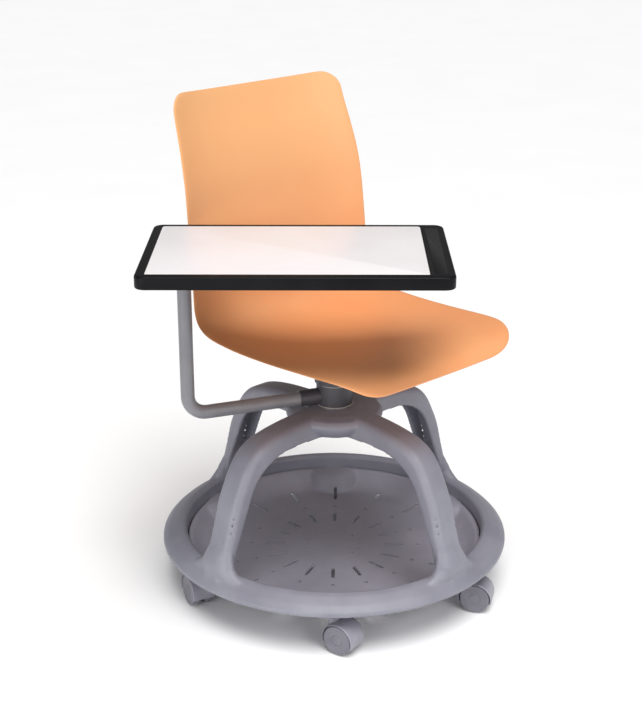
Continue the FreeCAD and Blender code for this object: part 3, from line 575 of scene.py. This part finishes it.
def casters():
    hood, wheel = caster_hood(), caster_wheel()
    for number, (azimuth, heading) in enumerate(zip(CASTER_AZIMUTHS, CASTER_HEADINGS), start=1):
        name = f"caster_{number}"
        place = (Matrix.Translation(polar(CASTER_AT, azimuth)) @
                 Matrix.Rotation(math.radians(heading), 4, "Z"))
        piece = copy_of(hood, name + "_hood")
        piece.matrix_world = place
        finish(settle(piece), name, "caster_plastic", CASTER_NYLON, name + "_body")
        for side, turn in (("left", 0), ("right", math.pi)):
            piece = copy_of(wheel, f"{name}_{side}_wheel")
            offset = WHEEL_OFFSET if side == "left" else -WHEEL_OFFSET
            piece.matrix_world = (place @ Matrix.Translation((CASTER_TRAIL, offset, WHEEL_RADIUS))
                                  @ Matrix.Rotation(turn, 4, "Z"))
            finish(settle(piece), f"{name}_{side}", "wheel_nylon", WHEEL_NYLON,
                   f"{name}_wheel_{side}")
    for source in (hood, wheel):
        bpy.data.objects.remove(source)


# ---------------------------------------------------------------- arm

def arm_tube():
    """The bent tube: a circle drawn out level, spun through the bend and drawn up the post."""
    reach = math.hypot(POST.x, POST.y)
    deselect()
    bpy.ops.mesh.primitive_circle_add(vertices=40, radius=TUBE_RADIUS, fill_type="NGON",
                                      location=(TUBE_START, 0, TUBE_LEVEL),
                                      rotation=(0, math.radians(90), 0))
    tube = settle(new_piece("arm_tube_bent"))
    editing(tube)
    bpy.ops.mesh.select_all(action="SELECT")
    bpy.ops.mesh.extrude_region_move(TRANSFORM_OT_translate={
        "value": (reach - TUBE_BEND - TUBE_START, 0, 0)})
    bpy.ops.mesh.spin(steps=18, angle=math.pi / 2, axis=(0, 1, 0),
                      center=(reach - TUBE_BEND, 0, TUBE_LEVEL + TUBE_BEND))
    bpy.ops.mesh.extrude_region_move(TRANSFORM_OT_translate={
        "value": (0, 0, TUBE_TOP - TUBE_LEVEL - TUBE_BEND)})
    done()
    tube.rotation_euler = (0, 0, ARM_AZIMUTH)
    settle(tube)
    tidy(tube, angle=50)
    finish(tube, "arm", "arm_paint", POWDER_COAT, "arm_tube")


# ---------------------------------------------------------------- writing tablet

def tablet_frame():
    """The moulded frame: rounded corners, soft edges, and recesses for panel, inlay and cover."""
    under = TABLET_TOP - TABLET_THICK
    right, back = TABLET_LEFT + TABLET_LENGTH, TABLET_FRONT + TABLET_DEPTH
    case = block("tablet_case", (TABLET_LEFT, TABLET_FRONT, under), (right, back, TABLET_TOP))
    editing(case)
    bevel_edges(case, upright, TABLET_CORNER, 12)
    bevel_edges(case, lambda e: min(v.co.z for v in e.verts) > TABLET_TOP - 1e-5, 0.0036, 5)
    bevel_edges(case, lambda e: max(v.co.z for v in e.verts) < under + 1e-5, 0.0022, 3)
    done()
    panel_low = (TABLET_LEFT + BORDER_LEFT, TABLET_FRONT + BORDER_FRONT, TABLET_TOP - PANEL_THICK)
    panel_high = (right - BORDER_RIGHT, back - BORDER_BACK, TABLET_TOP + 0.01)
    away(case, block("panel_recess", panel_low, panel_high))
    inlay = inlay_box()
    away(case, block("inlay_recess", inlay[0], (inlay[1][0], inlay[1][1], TABLET_TOP + 0.01)))
    low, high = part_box("tablet_cover")
    away(case, block("cover_recess", (low.x - SEAM, low.y - SEAM, under - 0.01),
                     (high.x + SEAM, high.y + SEAM, high.z + SEAM)))
    modified(case, "BEVEL", width=0.0005, segments=2, limit_method="ANGLE",
             angle_limit=math.radians(50))
    tidy(case, angle=32)
    finish(case, "tablet", "tablet_plastic", TABLET_ABS, "tablet_frame")


def inlay_box():
    low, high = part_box("tablet_inlay")
    return (low.x - SEAM, low.y - SEAM, low.z), (high.x + SEAM, high.y + SEAM, high.z)


def writing_panel():
    """The laminate panel: its corners eased and its upper arris rounded."""
    low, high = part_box("tablet_surface")
    panel = block("laminate_panel", low, high)
    editing(panel)
    bevel_edges(panel, upright, 0.005, 6)
    bevel_edges(panel, lambda e: min(v.co.z for v in e.verts) > high.z - 1e-5, 0.0007, 3)
    done()
    tidy(panel, angle=35)
    finish(panel, "tablet", "writing_laminate", LAMINATE, "tablet_surface")


def inlay_strip():
    """The polished strip beside the panel, its corners and upper arris eased."""
    low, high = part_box("tablet_inlay")
    strip = block("inlay_strip", low, high)
    editing(strip)
    bevel_edges(strip, upright, 0.003, 5)
    bevel_edges(strip, lambda e: min(v.co.z for v in e.verts) > high.z - 1e-5, 0.0003, 2)
    done()
    tidy(strip, angle=35)
    finish(strip, "tablet", "inlay_plastic", INLAY_ABS, "tablet_inlay")


def eased_plate(node, name, body, slot, material, corner, arris):
    """A flat plate from a node's box, with round corners and eased edges."""
    low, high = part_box(node)
    plate = block(name, low, high)
    editing(plate)
    bevel_edges(plate, upright, corner, 8)
    done()
    modified(plate, "BEVEL", width=arris, segments=2, limit_method="ANGLE",
             angle_limit=math.radians(50))
    tidy(plate, angle=35)
    finish(plate, body, slot, material, node)


# ---------------------------------------------------------------- seat shell

def along(table, station):
    """Values of a table at a station, by a smooth curve through its rows."""
    index = max(i for i in range(len(table) - 1) if table[i][0] <= station or i == 0)
    before, start, end, after = (table[max(index - 1, 0)], table[index], table[index + 1],
                                 table[min(index + 2, len(table) - 1)])
    span = end[0] - start[0]
    t = (station - start[0]) / span
    values = []
    for a, b, c, d in zip(before[1:], start[1:], end[1:], after[1:]):
        slope_in = (c - a) / max(end[0] - before[0], 1e-9) * span
        slope_out = (d - b) / max(after[0] - start[0], 1e-9) * span
        values.append((2 * t ** 3 - 3 * t ** 2 + 1) * b + (t ** 3 - 2 * t ** 2 + t) * slope_in +
                      (3 * t ** 2 - 2 * t ** 3) * c + (t ** 3 - t ** 2) * slope_out)
    return values if len(values) > 1 else values[0]


def shell_stations(length):
    """Stations along the profile, closer together around the rounded corners."""
    front = [FRONT_CORNER * (1 - math.cos(math.pi / 2 * i / 8)) for i in range(9)]
    top = [length - TOP_CORNER * (1 - math.cos(math.pi / 2 * i / 7)) for i in range(8)]
    middle = [FRONT_CORNER + (length - FRONT_CORNER - TOP_CORNER) * i / 26 for i in range(1, 26)]
    return front + middle + top[::-1]


def shell_half_width(station, length):
    """Half width, drawn in along a quarter circle at the front and top corners."""
    half = along(SHELL_HALF_WIDTH, station)
    for reach, corner in ((station, FRONT_CORNER), (length - station, TOP_CORNER)):
        if reach < corner:
            half -= corner - math.sqrt(max(corner ** 2 - (corner - reach) ** 2, 0.0))
    return half


def seat_shell():
    """The one-piece shell: a sheet shaped row by row, thickened, and subdivided."""
    length = SHELL_PROFILE[-1][0]
    stations = shell_stations(length)
    deselect()
    bpy.ops.mesh.primitive_grid_add(x_subdivisions=SHELL_COLUMNS, y_subdivisions=len(stations) - 1,
                                    size=2)
    shell = new_piece("shell_moulding")
    mesh = editing(shell)
    mesh.verts.ensure_lookup_table()
    rows = {}
    for vert in mesh.verts:
        rows.setdefault(round(vert.co.y, 5), []).append(vert.index)
    order = [rows[key] for key in sorted(rows)]
    for station, row in zip(stations, order):
        point = Vector(along(SHELL_PROFILE, station))
        ahead = Vector(along(SHELL_PROFILE, min(station + 0.002, length)))
        behind = Vector(along(SHELL_PROFILE, max(station - 0.002, 0)))
        tangent = (ahead - behind).normalized()
        half, full = shell_half_width(station, length), along(SHELL_HALF_WIDTH, station)
        depth = along(SHELL_DISH, station)
        blend = min(max((station - BACK_START) / (BACK_FULL - BACK_START), 0.0), 1.0)
        mesh = bmesh.from_edit_mesh(shell.data)
        mesh.verts.ensure_lookup_table()
        # the row goes to its place on the centre line, then its sides rise as a dish
        for index in row:
            vert = mesh.verts[index]
            across = vert.co.x
            rise = depth * abs(half * across / full) ** (SEAT_DISH_POWER + blend)
            vert.co = (half * across, point.x - tangent.y * rise, point.y + tangent.x * rise)
        bmesh.update_edit_mesh(shell.data)
    done()
    modified(shell, "SOLIDIFY", thickness=SHELL_THICK, offset=-1)
    modified(shell, "SUBSURF", levels=2, render_levels=2)
    shell.rotation_euler = (0, 0, SEAT_AZIMUTH)
    settle(shell)
    tidy(shell, angle=80)
    finish(shell, "seat", "shell_plastic", SHELL_POLYPROPYLENE, "seat_shell")


# ---------------------------------------------------------------- carried-over CAD nodes

def dress_nodes():
    """Gives every CAD node that still shows its finish."""
    finishes = {
        # the arm's paint slot takes the darker powder coat, which is painted shade at the hub
        "nylon": ACETAL, "steel": ZINC_STEEL, "arm_paint": HUB_COAT_PAINTED_SHADE, "rubber": RUBBER,
        "base_plastic": BASE_NYLON, "tray_plastic": TRAY_POLYPROPYLENE,
        "shell_plastic": SHELL_POLYPROPYLENE, "tablet_plastic": TABLET_ABS,
        "inlay_plastic": INLAY_ABS, "writing_laminate": LAMINATE,
        "caster_plastic": CASTER_NYLON, "wheel_nylon": WHEEL_NYLON,
    }
    for row in frame["record"]["subparts"]:
        node = NODES[row["node"]]
        node.data.materials.clear()
        node.data.materials.append(finishes[row["material_slot"]])


# ---------------------------------------------------------------- studio

def studio():
    """Pale floor, soft lights and the camera."""
    deselect()
    bpy.ops.mesh.primitive_plane_add(size=30, location=(0, 0, 0))
    floor = new_piece("studio_floor")
    paper = bpy.data.materials.new("white_paper_sweep")
    paper.use_nodes = True
    paper.node_tree.nodes.clear()
    place = add_node(paper, "ShaderNodeTexCoord").outputs["Object"]
    tone = add_node(paper, "ShaderNodeTexNoise", Vector=place, Scale=3.0, Detail=2.0)
    colour = ramp(add_node(paper, "ShaderNodeValToRGB", Fac=tone.outputs["Fac"]),
                  (0.3, srgb("FCFCFC")), (0.7, srgb("FEFEFE")))
    shader = add_node(paper, "ShaderNodeBsdfPrincipled", Base_Color=colour.outputs["Color"],
                      Roughness=0.9)
    add_node(paper, "ShaderNodeOutputMaterial", Surface=shader.outputs["BSDF"])
    floor.data.materials.append(paper)
    world = bpy.data.worlds.new("studio_white")
    world.use_nodes = True
    world.node_tree.nodes["Background"].inputs["Color"].default_value = srgb("FFFFFF")
    world.node_tree.nodes["Background"].inputs["Strength"].default_value = 0.22
    bpy.context.scene.world = world
    # name, kind, place, what it faces, size (degrees for the sun, metres for a softbox), strength
    for name, kind, place, aim, spread, power in (
            ("overhead_diffuse", "SUN", (0.3, -1.2, 3.2), (0, 0, 0), math.radians(40), 2.6),
            ("front_softbox", "AREA", (1.9, -2.8, 1.9), (0, 0, 0.40), 1.8, 40),
            ("left_fill", "AREA", (-1.8, -2.6, 0.9), (0, 0, 0.45), 1.8, 34)):
        light = bpy.data.lights.new(name, kind)
        light.energy = power
        if kind == "SUN":
            light.angle = spread
        else:
            light.size = spread
        lamp = bpy.data.objects.new(name, light)
        lamp.location = place
        lamp.rotation_euler = (Vector(aim) - Vector(place)).to_track_quat("-Z", "Y").to_euler()
        bpy.context.scene.collection.objects.link(lamp)
    camera = bpy.data.cameras.new("camera")
    camera.lens, camera.sensor_width, camera.clip_end = 72.195, 36.0, 60
    holder = bpy.data.objects.new("camera", camera)
    holder.location = (-0.0123, -2.2807, 1.269)
    holder.rotation_euler = (math.radians(69.12), 0, math.radians(0.27))
    bpy.context.scene.collection.objects.link(holder)
    bpy.context.scene.camera = holder
    bpy.context.scene.view_settings.view_transform = "Standard"


# ---------------------------------------------------------------- the whole chair

dress_nodes()
base_frame()
bag_tray()
casters()
arm_tube()
tablet_frame()
writing_panel()
inlay_strip()
eased_plate("tablet_cover", "tablet_underside", "tablet", "tablet_plastic", TABLET_ABS,
            0.004, 0.0004)
seat_shell()
studio()
